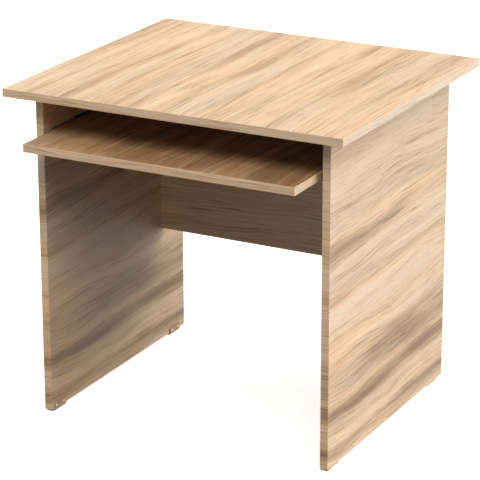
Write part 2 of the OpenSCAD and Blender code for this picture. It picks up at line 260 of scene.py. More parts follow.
# %% [markdown]
# ## The oak decor
#
# The boards aren't solid oak. Their faces are paper printed with pale oak, pressed onto the board
# with resin. What the eye reads as oak is a stack of simple layers, each much longer along the
# grain than across it:
#
# - a few broad stripes, greyer and darker than the rest, each board with its own
# - soft bands a finger or two wide
# - streaks of a few millimetres
# - fine broken dark lines, fibres and short pores
#
# Two slow noises push the whole stack sideways before it is drawn, so that the lines drift, lean
# and sometimes close into the long flame shapes of flat-sawn oak. Because every layer reads the
# same pushed place, the layers move together, as they do in a real plank.

# %% Layers of oak
OAK_SHADES = [
    (0.0, paint("8A6C4E")),
    (0.3, paint("B69A7B")),
    (0.55, paint("D8BC9E")),
    (0.75, paint("EBD2B6")),
    (1.0, paint("F5E2CB")),
]

# Each layer: lengthwise and crosswise changes in a metre, and how far it pushes
LEAN = (1.5, 4.0, 0.03)
RIPPLE = (4.0, 9.0, 0.008)
OAK_LAYERS = [
    (0.9, 10.0, 0.15),
    (1.5, 30.0, 0.13),
    (3.0, 95.0, 0.09),
    (5.0, 380.0, 0.15),
]
MIDDLE_TONE = 0.75
STRIPE_FADE = (2.5, 8.0, 0.5)
STRIPE_SHARE = 0.7


def stretched(finish, along, across, lengthwise, crosswise, seed):
    """A place on the grain, squeezed so that noise comes out long along it and short across it."""
    return finish.vector(finish.sum("MULTIPLY", along, lengthwise),
                         finish.sum("MULTIPLY", across, crosswise), seed)


def oak_layer(finish, along, across, lengthwise, crosswise, seed, swing):
    """Noise stretched along the grain, as a push of up to swing either way."""
    place = stretched(finish, along, across, lengthwise, crosswise, seed)
    return finish.between(finish.noise(place), 0.3, 0.7, -swing, swing)


def wavy_place(finish, along, across, seed, waviness):
    """The place across the grain, pushed sideways a little so that the lines lean and wave."""
    lean = oak_layer(finish, along, across, *LEAN[:2], seed, LEAN[2] * waviness)
    ripple = oak_layer(finish, along, across, *RIPPLE[:2], seed + 7.0, RIPPLE[2] * waviness)
    return finish.sum("ADD", across, finish.sum("ADD", lean, ripple))


print("oak shades:", len(OAK_SHADES), "and layers:", len(OAK_LAYERS))

# %% [markdown]
# Over the soft layers come the lines. A growth line is where one slow noise passes through its
# middle value: such places form thin winding curves, like the rings that the saw cut through. The
# finer broken lines are the dark peaks of noises that change quickly across the grain.

# %% Lines in the oak
GROWTH_RATES = (1.2, 38.0)
GROWTH_HALF_WIDTH = 0.02
GROWTH_DARKNESS = 0.3
GROWTH_PATCH = (3.0, 10.0)
OAK_DASHES = [
    # lengthwise and crosswise changes in a metre, and darkness
    (5.0, 210.0, 0.22),
    (11.0, 430.0, 0.28),
]


def growth_lines(finish, along, across, pushed, seed):
    """Darkness of the winding growth lines, which show only in some patches."""
    growth = finish.noise(stretched(finish, along, pushed, *GROWTH_RATES, seed + 90.0), detail=3.0)
    off_line = finish.sum("ABSOLUTE", finish.sum("SUBTRACT", growth, 0.5))
    line = finish.between(off_line, GROWTH_HALF_WIDTH, 0.0, 0.0, GROWTH_DARKNESS)
    patch = finish.between(oak_layer(finish, along, across, *GROWTH_PATCH, seed + 95.0, 1.0), 0.0, 0.6)
    return finish.sum("MULTIPLY", line, patch)


def oak_tone(finish, along, across, seed, stripes, waviness):
    """How light the oak is at a place, from 0 for the darkest stripe to 1 for the palest band.

    along and across are sockets in metres. A stripe is (place across the board, half its width,
    darkness), with the first two in metres.
    """
    pushed = wavy_place(finish, along, across, seed, waviness)
    tone = MIDDLE_TONE
    for lengthwise, crosswise, swing in OAK_LAYERS:
        layer = oak_layer(finish, along, pushed, lengthwise, crosswise, seed + crosswise, swing)
        tone = finish.sum("ADD", layer, tone)
    for place, half_width, darkness in stripes:
        distance = finish.sum("ABSOLUTE", finish.sum("SUBTRACT", pushed, place))
        near = finish.between(distance, half_width, 0.0, 0.0, darkness)
        fading = oak_layer(finish, along, across, *STRIPE_FADE[:2], seed + place, STRIPE_FADE[2])
        tone = finish.sum("MULTIPLY_ADD", near, finish.sum("SUBTRACT", fading, STRIPE_SHARE), tone)
    tone = finish.sum("SUBTRACT", tone, growth_lines(finish, along, across, pushed, seed))
    for lengthwise, crosswise, darkness in OAK_DASHES:
        place = stretched(finish, along, pushed, lengthwise, crosswise, seed + crosswise)
        dash = finish.between(finish.noise(place), 0.55, 0.68, 0.0, darkness)
        tone = finish.sum("SUBTRACT", tone, dash)
    return tone


print("kinds of broken line:", len(OAK_DASHES))

# %% [markdown]
# The tone now picks a shade. Real oak isn't one hue: some patches are warm and others grey, so a
# slow noise tints it. Last come the pores, short grooves that catch the light.

# %% Colour and pores of the oak
WARM_PATCH = (1.3, 13.0)
GREY_TINT = paint("F0EEE9")
WARM_TINT = paint("FFF4E5")
PORE_RATES = (60.0, 1500.0)
PORE_PAINT = paint("8A6F54")
PORE_DEPTH = 0.08 * MM
WAVINESS = 0.5


def oak_colour(finish, tone, along, across, seed):
    """The printed colour: a shade for the tone, leaning warm in some patches and grey in others."""
    warmth = oak_layer(finish, along, across, *WARM_PATCH, seed + 50.0, 0.5)
    tint = finish.mix(finish.sum("ADD", warmth, 0.5), GREY_TINT, WARM_TINT)
    return finish.mix(1.0, finish.ramp(tone, OAK_SHADES), tint, how="MULTIPLY")


def pores(finish, along, across, seed):
    """Height of the fine embossed pores: short grooves along the grain."""
    return finish.noise(stretched(finish, along, across, *PORE_RATES, seed))


def printed_oak(finish, along, across, seed, stripes, waviness, lift):
    """The colour of the print and the height of its pores, for grain that runs along one axis."""
    place = finish.parts(finish.place)
    lengthwise, crosswise = place["XYZ".index(along)], place["XYZ".index(across)]
    tone = finish.sum("ADD", oak_tone(finish, lengthwise, crosswise, seed, stripes, waviness), lift)
    return oak_colour(finish, tone, lengthwise, crosswise, seed), pores(finish, lengthwise, crosswise, seed)


print("a pore is about", round(1 / PORE_RATES[0] / MM), "mm long")

# %% [markdown]
# ## Raw chipboard
#
# Wherever a board has no band, and inside every drilled hole, the chips show. Chipboard is pressed
# in three layers: coarse chips in the middle and fine dust towards the faces, which gives it a
# smooth surface. A Voronoi texture cuts space into cells, and a random colour for each cell makes
# convincing chips.

# %% Draw the chips
CHIP_SHADES = [
    (0.0, paint("7B5C3C")),
    (0.4, paint("A9875C")),
    (0.75, paint("C7A778")),
    (1.0, paint("DDC296")),
]
CHIPS_PER_METRE = 420.0
DUST_PER_METRE = 1300.0
DUST_SHARE = 0.4


def chip_colour(finish):
    """Chips of two sizes, each chip with a shade of its own."""
    coarse = finish.step("TexVoronoi", Vector=finish.place, Scale=CHIPS_PER_METRE).outputs["Color"]
    fine = finish.step("TexVoronoi", Vector=finish.place, Scale=DUST_PER_METRE).outputs["Color"]
    picked = finish.mix(DUST_SHARE, coarse, fine)
    return finish.ramp(finish.parts(picked)[0], CHIP_SHADES)


print("chips are about", round(1 / CHIPS_PER_METRE / MM, 1), "mm across")

# %% [markdown]
# ## Finishing the boards
#
# A board's material looks at which way its surface faces. Where it faces out of the board it is
# printed oak, and everywhere else it is raw chipboard, so one material is right for the faces, the
# sawn edges and the holes. The grain runs front to back on the top, the tray and the sides, and
# from side to side on the modesty panel.

# %% Finish the boards
FACING_OUT = 0.6


def board_finish(name, along, across, faces, seed, stripes=(), waviness=WAVINESS, lift=0.0):
    """Oak decor for a board whose grain runs along one axis, with stripes across another.

    lift makes the whole board paler, or darker where it is negative.
    """
    finish = Finish(name)
    colour, grooves = printed_oak(finish, along, across, seed, stripes, waviness, lift)
    direction = finish.parts(finish.step("TexCoord").outputs["Normal"])["XYZ".index(faces)]
    printed = finish.sum("GREATER_THAN", finish.sum("ABSOLUTE", direction), FACING_OUT)
    oak = finish.mix(finish.between(grooves, 0.42, 0.3, 0.0, 0.35), colour, PORE_PAINT)
    gloss = finish.between(grooves, 0.3, 0.6, 0.62, 0.46)
    finish.set(
        Base_Color=finish.mix(printed, chip_colour(finish), oak),
        Roughness=finish.sum("ADD", gloss, finish.between(printed, 0.0, 1.0, 0.3, 0.0)),
        IOR=1.47,
    )
    finish.relief(grooves, PORE_DEPTH)
    return finish.material


SIDE_STRIPES = [
    (0.12, 0.16, 0.25),
    (0.48, 0.03, 0.55),
    (0.375, 0.022, 0.35),
    (0.2, 0.05, 0.5),
    (0.11, 0.025, 0.6),
    (0.03, 0.02, 0.4),
]
SIDE_SEED = 47.0
side_oak = board_finish("oak_side_panels", "Y", "Z", "X", SIDE_SEED, SIDE_STRIPES, lift=0.05)
DESKTOP_STRIPES = [
    (-0.335, 0.018, 0.2),
    (-0.25, 0.02, 0.2),
    (-0.09, 0.022, 0.4),
    (0.0, 0.018, 0.35),
    (0.07, 0.012, 0.2),
    (0.16, 0.03, 0.2),
    (0.235, 0.02, 0.4),
    (0.34, 0.015, 0.2),
]
BOARDS = {
    "desktop": board_finish("oak_desktop", "Y", "X", "Z", 11.0, DESKTOP_STRIPES, waviness=0.3),
    # The tray's oak is made much darker than the other boards: painted shade, for the tray's place under
    # the desktop where shade falls.
    "keyboard_tray": board_finish("oak_tray", "Y", "X", "Z", 23.0, waviness=0.4, lift=-0.52),
    "left_side_panel": side_oak,
    "right_side_panel": side_oak,
    "modesty_panel": board_finish("oak_modesty", "X", "Z", "Y", 59.0),
}

for node, material in BOARDS.items():
    NODES[node].material_slots[0].material = material
    print(node, "is finished in", material.name)

# %% [markdown]
# ## The edge bands
#
# A band is a millimetre of plastic printed to match the board, pressed on with hot glue and milled
# flush, with its two corners rounded over. It repeats the oak, printed a little paler than its board:
# painted light, which makes the edges read brighter than the lamps alone make them. A fine dark glue
# line marks where it meets the board. A pale strip along its corners is a painted highlight, standing
# for the light that its rounded corners would catch. The bands of the side panels follow the stripes
# of the panel's own faces, so the stripes turn the corner.

# %% Finish the edge bands
GLUE = paint("7A6248")
# A pale colour for the bands' corners: a painted highlight, where a rounded corner would catch the light.
ARRIS_HIGHLIGHT = paint("EAD9C2")
# The bands are printed paler than their boards: painted light, which brightens the edges.
BAND_PAINTED_LIGHT = 0.1
GLUE_LINE = 0.12 * MM
ROUNDED = 0.35 * MM
BAND_PORE_DEPTH = 0.05 * MM


def band_finish(node, board, along, across, seed, stripes):
    """Oak decor for an edge band, with its glue line on the side where its board is."""
    low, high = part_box(node)
    size = high - low
    thin = min(range(3), key=lambda axis: size[axis])
    board_low, board_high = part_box(board)
    board_above = (board_low + board_high)[thin] > (low + high)[thin]
    glued, free = (high[thin], low[thin]) if board_above else (low[thin], high[thin])

    finish = Finish("oak_" + node)
    colour, grooves = printed_oak(finish, along, across, seed, stripes, WAVINESS, BAND_PAINTED_LIGHT)
    depth = finish.parts(finish.place)[thin]
    from_board = finish.sum("ABSOLUTE", finish.sum("SUBTRACT", depth, glued))
    from_face = finish.sum("ABSOLUTE", finish.sum("SUBTRACT", depth, free))
    colour = finish.mix(finish.between(from_board, GLUE_LINE, 0.0, 0.0, 0.8), colour, GLUE)
    # A pale strip along the band's corners: a painted highlight for its rounded corners.
    painted_arris_highlight = finish.sum("MULTIPLY", finish.between(from_face, 0.05 * MM, ROUNDED),
                           finish.between(from_board, ROUNDED, 2 * ROUNDED))
    colour = finish.mix(finish.sum("MULTIPLY", painted_arris_highlight, 0.35), colour, ARRIS_HIGHLIGHT)
    finish.set(Base_Color=colour, Roughness=finish.between(grooves, 0.3, 0.6, 0.5, 0.38), IOR=1.5)
    finish.relief(grooves, BAND_PORE_DEPTH)
    return finish.material


BANDS = [
    ("desktop_front_edge_band", "desktop", "X", "Z", 61.0, ()),
    ("desktop_rear_edge_band", "desktop", "X", "Z", 62.0, ()),
    ("desktop_left_edge_band", "desktop", "Y", "Z", 63.0, ()),
    ("desktop_right_edge_band", "desktop", "Y", "Z", 64.0, ()),
    ("tray_front_edge_band", "keyboard_tray", "X", "Z", 65.0, ()),
    ("tray_left_edge_band", "keyboard_tray", "Y", "Z", 66.0, ()),
    ("tray_right_edge_band", "keyboard_tray", "Y", "Z", 67.0, ()),
    ("modesty_bottom_edge_band", "modesty_panel", "X", "Y", 68.0, ()),
]
for side in ("left", "right"):
    for end in ("front", "rear"):
        band = f"{side}_panel_{end}_edge_band"
        BANDS.append((band, f"{side}_side_panel", "X", "Z", SIDE_SEED, SIDE_STRIPES))

for node, board, along, across, seed, stripes in BANDS:
    NODES[node].material_slots[0].material = band_finish(node, board, along, across, seed, stripes)
print("edge bands finished:", len(BANDS))

# %% [markdown]
# ## Making the fittings
#
# The fittings are small, but they are what a furniture maker looks at: screws, cam fittings,
# dowels, roller slides and glides. The CAD model holds each as a plain solid in the right place. We
# read where each one sits from that solid, model it as it is really made, and let it stand for the
# CAD solid. A few helpers do the bookkeeping: one finds the separate solids in a CAD node, one
# stands a part at a place, and one turns a mesh into a piece that rides on its body.

# %% Find places and make pieces
MERGE = 0.001 * MM


def loose_boxes(node):
    """The lowest and highest corner of each separate solid in a CAD node."""
    shape = bmesh.new()
    shape.from_mesh(NODES[node].data)
    bmesh.ops.remove_doubles(shape, verts=shape.verts, dist=MERGE)
    waiting = set(shape.verts)
    boxes = []
    while waiting:
        solid = [waiting.pop()]
        for corner in solid:
            for edge in corner.link_edges:
                other = edge.other_vert(corner)
                if other in waiting:
                    waiting.remove(other)
                    solid.append(other)
        boxes.append((Vector(min(v.co[i] for v in solid) for i in range(3)),
                      Vector(max(v.co[i] for v in solid) for i in range(3))))
    shape.free()
    return sorted(boxes, key=lambda box: [round(place, 4) for place in box[0]])


def as_mesh(shape, name):
    """Writes an edited shape into a new mesh and frees it."""
    mesh = bpy.data.meshes.new(name)
    shape.to_mesh(mesh)
    shape.free()
    return mesh


def set_at(place, towards, side=(0.0, 0.0, 1.0)):
    """Stands a part at a place, with its own +Z pointing towards one way and its +X to a side."""
    up = Vector(towards)
    across = Vector(side) - up * up.dot(Vector(side))
    if across.length < 0.1:
        across = up.orthogonal()
    across.normalize()
    return Matrix.Translation(place) @ Matrix((across, up.cross(across), up)).transposed().to_4x4()


def make_piece(name, mesh, places, body, nodes, material, crease=35):
    """One piece made of a copy of a mesh at each place, standing for some CAD nodes."""
    shape = bmesh.new()
    for place in places:
        count = len(shape.verts)
        shape.from_mesh(mesh)
        shape.verts.ensure_lookup_table()
        bmesh.ops.transform(shape, matrix=place, verts=shape.verts[count:])
    bmesh.ops.recalc_face_normals(shape, faces=shape.faces)
    made = as_mesh(shape, name)
    made.materials.clear()
    made.materials.append(material)
    made.shade_smooth()
    made.set_sharp_from_angle(angle=math.radians(crease))
    piece = bpy.data.objects.new(name, made)
    bpy.context.scene.collection.objects.link(piece)
    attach(piece, body)
    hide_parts(*nodes)
    print(name, "has", len(places), "copies and", len(made.polygons), "faces")
    return piece


def inwards(place):
    """The direction from a side panel towards the middle of the desk."""
    return Vector((-math.copysign(1.0, place.x), 0.0, 0.0))


# %% [markdown]
# ## Turning and carving
#
# Most fittings are round, so they are drawn as a lathe would cut them: a profile of radius and
# height, turned about an axis. A thread or a flute is a small change of radius as we go round: if
# the change also climbs with the height it is a thread, and if it doesn't it is a flute.

# %% Turn a profile
AROUND = 32


def rounded(outline, radius, steps=3, closed=True):
    """Rounds the corners of an outline of (x, y) points."""
    points = [Vector(point) for point in outline]
    result = []
    for i, corner in enumerate(points):
        if not closed and i in (0, len(points) - 1):
            result.append(corner)
            continue
        before, after = points[i - 1] - corner, points[(i + 1) % len(points)] - corner
        reach = min(radius, before.length * 0.45, after.length * 0.45)
        start, end = corner + before.normalized() * reach, corner + after.normalized() * reach
        for step in range(steps + 1):
            t = step / steps
            result.append(start * (1 - t) ** 2 + corner * 2 * t * (1 - t) + end * t ** 2)
    return result


def turned(profile, around=AROUND, ring=False, carve=None):
    """Turns (radius, height) points about +Z. carve(angle, height) is a depth to take off the radius."""
    shape = bmesh.new()
    rows = []
    for radius, height in profile:
        if radius < MERGE:
            rows.append([shape.verts.new((0, 0, height))])
            continue
        row = []
        for step in range(around):
            angle = 2 * math.pi * step / around
            r = radius - (carve(angle, height) if carve else 0.0)
            row.append(shape.verts.new((r * math.cos(angle), r * math.sin(angle), height)))
        rows.append(row)
    pairs = list(zip(rows, rows[1:]))
    if ring:
        pairs.append((rows[-1], rows[0]))
    for lower, upper in pairs:
        for step in range(around):
            after = (step + 1) % around
            corners = [lower[step % len(lower)], lower[after % len(lower)],
                       upper[after % len(upper)], upper[step % len(upper)]]
            shape.faces.new(list(dict.fromkeys(corners)))
    bmesh.ops.recalc_face_normals(shape, faces=shape.faces)
    return as_mesh(shape, "turned")


print("the lathe is ready, with", AROUND, "sides unless a piece asks for more")

# %% [markdown]
# Flat shapes are pressed from an outline. Recesses and holes are then carved with Blender's Boolean
# modifier. Its exact solver takes longer than the fast one, but it copes with cutters whose faces
# meet the faces of the blank.

# %% Press and carve


def pressed(outline, low, high, taper=1.0):
    """A slab with a given (x, y) outline, from one height to another; taper shrinks its lower end."""
    shape = bmesh.new()
    bottom = [shape.verts.new((x * taper, y * taper, low)) for x, y in outline]
    top = [shape.verts.new((x, y, high)) for x, y in outline]
    shape.faces.new(bottom)
    shape.faces.new(top)
    for i in range(len(outline)):
        shape.faces.new((bottom[i - 1], bottom[i], top[i], top[i - 1]))
    bmesh.ops.recalc_face_normals(shape, faces=shape.faces)
    return as_mesh(shape, "pressed")


def moved(mesh, matrix):
    """The same mesh, somewhere else."""
    copy = mesh.copy()
    copy.transform(matrix)
    return copy


def carved(mesh, cutters):
    """Cuts other meshes out of a mesh."""
    blank = bpy.data.objects.new("blank", mesh)
    tools = [bpy.data.objects.new("cutter", cutter) for cutter in cutters]
    for thing in [blank] + tools:
        bpy.context.scene.collection.objects.link(thing)
    for tool in tools:
        cut = blank.modifiers.new("cut", "BOOLEAN")
        cut.operation = "DIFFERENCE"
        cut.solver = "EXACT"
        cut.object = tool
    bpy.context.view_layer.update()
    result = bpy.data.meshes.new_from_object(blank.evaluated_get(bpy.context.evaluated_depsgraph_get()))
    for thing in [blank] + tools:
        bpy.data.objects.remove(thing)
    return result


print("the press and the cutters are ready")

# %% [markdown]
# A few outlines come back again and again: a rectangle, a circle, and a slot with round ends. The
# driver's recess is cut with two blades that cross.

# %% Draw the outlines
DRIVER_TAPER = 0.6


def box_outline(width, depth, x=0.0, y=0.0):
    """A rectangle about a point."""
    return [(x + sx * width / 2, y + sy * depth / 2) for sx, sy in ((-1, -1), (1, -1), (1, 1), (-1, 1))]


def disc_outline(radius, x=0.0, y=0.0, around=24):
    """A circle about a point."""
    angles = [2 * math.pi * step / around for step in range(around)]
    return [(x + radius * math.cos(angle), y + radius * math.sin(angle)) for angle in angles]


def oblong_outline(length, width, steps=10):
    """A slot with round ends, longer along Y."""
    radius, reach = width / 2, (length - width) / 2
    outline = []
    for end in (1, -1):
        for step in range(steps + 1):
            angle = math.pi * step / steps
            outline.append((end * radius * math.cos(angle), end * (radius * math.sin(angle) + reach)))
    return outline


def cross_cutter(span, width, low, high):
    """Two crossed blades that narrow downwards, as a cross-head driver does."""
    blade = pressed(box_outline(span, width), low, high, taper=DRIVER_TAPER)
    return [blade, moved(blade, Matrix.Rotation(math.pi / 2, 4, "Z"))]


print("a circle is drawn with", len(disc_outline(MM)), "points")

# %% [markdown]
# ## Metals and plastics
#
# Five finishes cover the fittings. Zinc-plated steel is bright and slightly patchy, because the
# plating and its clear passivation vary in thickness. Die-cast zinc is duller, with the fine grain
# of its mould. The rails are steel with a baked coating, whose orange-peel surface is a gentle
# swelling a millimetre or two across. The rollers and the glides are moulded plastic in two
# colours, satin with a fine eroded texture.

# %% Mix the fittings' finishes


def metal_finish(name, dark, light, rough, grain, depth):
    """Bare metal: cloudy patches that differ in colour and shine, and a fine grain."""
    finish = Finish(name)
    patches = finish.noise(finish.place, scale=180.0, detail=3.0)
    fine = finish.noise(finish.place, scale=grain, detail=2.0)
    colour = finish.mix(finish.between(patches, 0.35, 0.65), dark, light)
    finish.set(
        Base_Color=colour,
        Metallic=1.0,
        Roughness=finish.sum("ADD", finish.between(patches, 0.3, 0.7, rough - 0.07, rough + 0.07),
                             finish.between(fine, 0.3, 0.7, -0.04, 0.04)),
    )
    finish.relief(fine, depth)
    return finish.material


def coat_finish(name, dark, light, rough, swell, depth):
    """Paint or moulded plastic: a soft colour drift, a fine texture and a satin shine."""
    finish = Finish(name)
    drift = finish.noise(finish.place, scale=35.0, detail=3.0)
    texture = finish.noise(finish.place, scale=swell, detail=2.0)
    scuffs = finish.noise(finish.place, scale=260.0, detail=4.0, rough=0.7)
    finish.set(
        Base_Color=finish.mix(finish.between(drift, 0.35, 0.65), dark, light),
        Roughness=finish.sum("ADD", finish.between(texture, 0.3, 0.7, rough - 0.04, rough + 0.04),
                             finish.between(scuffs, 0.55, 0.7, 0.0, 0.18)),
        IOR=1.5,
    )
    finish.relief(texture, depth)
    return finish.material


ZINC_STEEL = metal_finish("zinc_plated_steel", paint("B4B8BA"), paint("D2D3CC"), 0.3, 2600.0, 0.01 * MM)
CAST_ZINC = metal_finish("die_cast_zinc", paint("8F9192"), paint("AFAFAC"), 0.46, 1700.0, 0.04 * MM)
COATED_STEEL = coat_finish("brown_coated_steel", paint("3E2C1E"), paint("4A3626"), 0.36, 700.0, 0.05 * MM)
NYLON = coat_finish("nylon_rollers", paint("DCD8CE"), paint("EAE7DF"), 0.42, 1200.0, 0.02 * MM)
nylon_shader = NYLON.node_tree.nodes["Principled BSDF"]
nylon_shader.inputs["Subsurface Weight"].default_value = 0.15
nylon_shader.inputs["Subsurface Scale"].default_value = 2 * MM
GLIDE_PLASTIC = coat_finish("glide_plastic", paint("A98A68"), paint("B59775"), 0.55, 1500.0, 0.04 * MM)
print("fitting finishes:", [m.name for m in (ZINC_STEEL, CAST_ZINC, COATED_STEEL, NYLON, GLIDE_PLASTIC)])

# %% [markdown]
# ## Screws
#
# Chipboard screws have a coarse thread that cuts into the chips, a pointed tip and a low head with a
# cross recess. The thread is carved from the turned shank: the depth taken off the radius depends on
# the height less a share of the angle, so the groove climbs one pitch in each turn. The three kinds
# differ only in length.

# %% Make the screws
HEAD_H = 1.4 * MM
HEAD_R = 3.5 * MM
SHANK_R = 1.75 * MM
SCREW_PITCH = 1.6 * MM
SCREW_GROOVE = 0.5 * MM
SCREW_TIP = 3.0 * MM
CROSS_SPAN = 3.6 * MM
CROSS_W = 0.9 * MM
ROWS_PER_TURN = 8


def groove(pitch, depth, low, high):
    """A thread's groove between two heights, which fades in and out over half a turn."""
    def depth_at(angle, height):
        fade = max(0.0, min(1.0, (height - low) / pitch * 2, (high - height) / pitch * 2))
        turns = height / pitch - angle / (2 * math.pi)
        return depth * fade * (0.5 - 0.5 * math.cos(2 * math.pi * turns))
    return depth_at


def screw_mesh(length):
    """A screw along +Z with the underside of its head at the origin."""
    head = [
        (0.0, -HEAD_H),
        (HEAD_R * 0.55, -HEAD_H),
        (HEAD_R * 0.85, -HEAD_H * 0.8),
        (HEAD_R * 0.98, -HEAD_H * 0.4),
        (HEAD_R, -HEAD_H * 0.15),
        (HEAD_R * 0.97, 0.0),
        (SHANK_R, 0.0),
    ]
    straight = length - SCREW_TIP
    rows = round(straight / SCREW_PITCH * ROWS_PER_TURN)
    shank = [(SHANK_R, straight * row / rows) for row in range(1, rows + 1)]
    point = [(SHANK_R * (1 - 0.16 * step), straight + SCREW_TIP * step / 6) for step in range(1, 6)]
    blank = turned(head + shank + point + [(0.0, length)],
                   carve=groove(SCREW_PITCH, SCREW_GROOVE, HEAD_H * 0.5, length - 0.5 * SCREW_TIP))
    return carved(blank, cross_cutter(CROSS_SPAN, CROSS_W, -HEAD_H * 0.35, -HEAD_H * 1.2))


def screws(name, node, body, facing):
    """A set of screws whose heads face the way that facing gives for each place."""
    places = []
    for low, high in loose_boxes(node):
        centre = (low + high) / 2
        outwards = facing(centre)
        half = abs((high - low).dot(outwards)) / 2
        places.append(set_at(centre + outwards * (half - HEAD_H), -outwards))
    return make_piece(name, screw_mesh(2 * half - HEAD_H), places, body, [node], ZINC_STEEL)


screws("glide_screws", "foot_screws", "desk", inwards)
screws("panel_rail_screws", "cabinet_rail_screws", "desk", inwards)
screws("under_tray_screws", "tray_rail_screws", "tray", lambda place: Vector((0.0, 0.0, -1.0)))

# %% [markdown]
# ## Cam fittings
#
# A cam fitting is a steel bolt in one board and a round cast housing in the other. The bolt's head
# sits inside the housing, and a half turn of a screwdriver draws the two boards together. The bolt
# is turned like a screw, from its round head and thin neck to its coarse thread.

# %% Make the cam bolts
right_panel_inner_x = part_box("right_side_panel")[0].x
bolt_boxes = loose_boxes("cam_bolts")
upright_bolts = [box for box in bolt_boxes if (box[1] - box[0]).z > (box[1] - box[0]).x]
bolt_length = (upright_bolts[0][1] - upright_bolts[0][0]).z
THREAD_L = 11 * MM
HEAD_L = 3 * MM
NECK_L = 6 * MM
CAM_HEAD_R = 3.2 * MM
NECK_R = 2.0 * MM
COLLAR_R = 3.5 * MM
THREAD_R = 3.0 * MM
CAM_PITCH = 2.2 * MM
CAM_GROOVE = 0.8 * MM


def cam_bolt_mesh(length):
    """A cam bolt along +Z, from the underside of its round head to the tip of its thread."""
    collar = length - THREAD_L
    neck_end = HEAD_L + NECK_L
    profile = [
        (0.0, 0.0),
        (CAM_HEAD_R - 1.0 * MM, 0.0),
        (CAM_HEAD_R, 0.8 * MM),
        (CAM_HEAD_R, HEAD_L - 0.8 * MM),
        (CAM_HEAD_R - 0.8 * MM, HEAD_L),
        (NECK_R, HEAD_L + 0.4 * MM),
        (NECK_R, neck_end),
        (COLLAR_R - 0.3 * MM, neck_end + 1.0 * MM),
        (COLLAR_R, neck_end + 1.6 * MM),
        (COLLAR_R, collar - 0.5 * MM),
        (THREAD_R + 0.1 * MM, collar),
    ]
    rows = round(THREAD_L / CAM_PITCH * ROWS_PER_TURN)
    thread = [(THREAD_R, collar + (THREAD_L - 0.8 * MM) * row / rows) for row in range(rows + 1)]
    return turned(profile + thread + [(NECK_R, length), (0.0, length)],
                  carve=groove(CAM_PITCH, CAM_GROOVE, collar, length))


bolt_places = []
for low, high in bolt_boxes:
    centre = (low + high) / 2
    way = Vector((0.0, 0.0, 1.0)) if (low, high) in upright_bolts else -inwards(centre)
    bolt_places.append(set_at(centre - way * bolt_length / 2, way))
make_piece("cam_bolts_threaded", cam_bolt_mesh(bolt_length), bolt_places, "desk", ["cam_bolts"],
           ZINC_STEEL)

# %% [markdown]
# The housing is a casting. We turn its round body and carve the rest, and show what a hand would
# find: a chamfered rim, a dished face with a cross recess, a small arrow that points at the bolt,
# and the slot where the bolt goes in.

# %% Make the cam housings
cam_boxes = loose_boxes("cam_housings")
in_panel = [box for box in cam_boxes if abs((box[0] + box[1]).x / 2) > right_panel_inner_x]
cam_r = (in_panel[0][1] - in_panel[0][0]).z / 2
cam_h = (in_panel[0][1] - in_panel[0][0]).x
FACE_TO_BOLT = 8.6 * MM
FOOT_CHAMFER = 0.8 * MM
RIM_IN = 1.1 * MM
DISH = 0.4 * MM
BOSS_R = 4.2 * MM
BOSS_DIP = 0.1 * MM
BOLT_BORE_R = 3.6 * MM
BOLT_SLOT_W = 4.4 * MM
CAM_CROSS_SPAN = 7.0 * MM
CAM_CROSS_W = 1.4 * MM


def cam_mesh():
    """A housing with its face at the origin looking along +Z and its bolt coming from +X."""
    profile = [
        (0.0, -cam_h),
        (cam_r - FOOT_CHAMFER, -cam_h),
        (cam_r, -cam_h + FOOT_CHAMFER),
        (cam_r, -0.5 * MM),
        (cam_r - DISH, 0.0),
        (cam_r - RIM_IN, 0.0),
        (cam_r - RIM_IN - DISH, -DISH),
        (BOSS_R + DISH, -DISH),
        (BOSS_R, -BOSS_DIP),
        (0.0, -BOSS_DIP),
    ]
    bore = moved(pressed(disc_outline(BOLT_BORE_R), 0.0, cam_r * 2),
                 Matrix.Translation((-2.0 * MM, 0, -FACE_TO_BOLT)) @ Matrix.Rotation(math.pi / 2, 4, "Y"))
    slot = moved(pressed(box_outline(2 * cam_r, BOLT_SLOT_W), -0.5 * cam_h, 0.0),
                 Matrix.Translation((cam_r * 1.1, 0, -cam_h * 0.25)))
    arrow = pressed([(4.9 * MM, -1.0 * MM), (6.2 * MM, 0.0), (4.9 * MM, 1.0 * MM)], -0.75 * MM, 0.2 * MM)
    recess = cross_cutter(CAM_CROSS_SPAN, CAM_CROSS_W, -2.4 * MM, 0.3 * MM)
    return carved(turned(profile, around=48), [bore, slot, arrow] + recess)


cam_places = []
for low, high in cam_boxes:
    centre = (low + high) / 2
    if (low, high) in in_panel:
        faces, bolt_side = inwards(centre), Vector((0.0, 0.0, 1.0))
    else:
        faces, bolt_side = Vector((0.0, 1.0, 0.0)), -inwards(centre)
    cam_places.append(set_at(centre + faces * cam_h / 2, faces, bolt_side))
make_piece("cam_housings_cast", cam_mesh(), cam_places, "desk", ["cam_housings"], CAST_ZINC)

# %% [markdown]
# ## Dowels
#
# Beech dowels line the boards up while the cams are tightened. Their fluted sides let the air and
# spare glue out of the hole, and their ends are chamfered so that they start easily. The grain
# runs along each dowel, so the upright ones and the ones that lie across have a finish each.

# %% Make the dowels
DOWEL_FLUTES = 16
FLUTE_DEPTH = 0.24 * MM
DOWEL_CHAMFER = 1.2 * MM
FLECKS_ALONG = 120.0
FLECKS_ACROSS = 900.0
FLECK_DEPTH = 0.05 * MM
BEECH_SHADES = [(0.3, paint("B08A5E")), (0.55, paint("D9B98C")), (0.8, paint("E8CFA6"))]


def beech_finish(name, along):
    """Beech, with short flecks along one axis."""
    finish = Finish(name)
    place = list(finish.parts(finish.place))
    place = [finish.sum("MULTIPLY", part, FLECKS_ALONG if axis == "XYZ".index(along) else FLECKS_ACROSS)
             for axis, part in enumerate(place)]
    flecks = finish.noise(finish.vector(*place), detail=3.0)
    finish.set(Base_Color=finish.ramp(flecks, BEECH_SHADES),
               Roughness=finish.between(flecks, 0.3, 0.7, 0.7, 0.55))
    finish.relief(flecks, FLECK_DEPTH)
    return finish.material


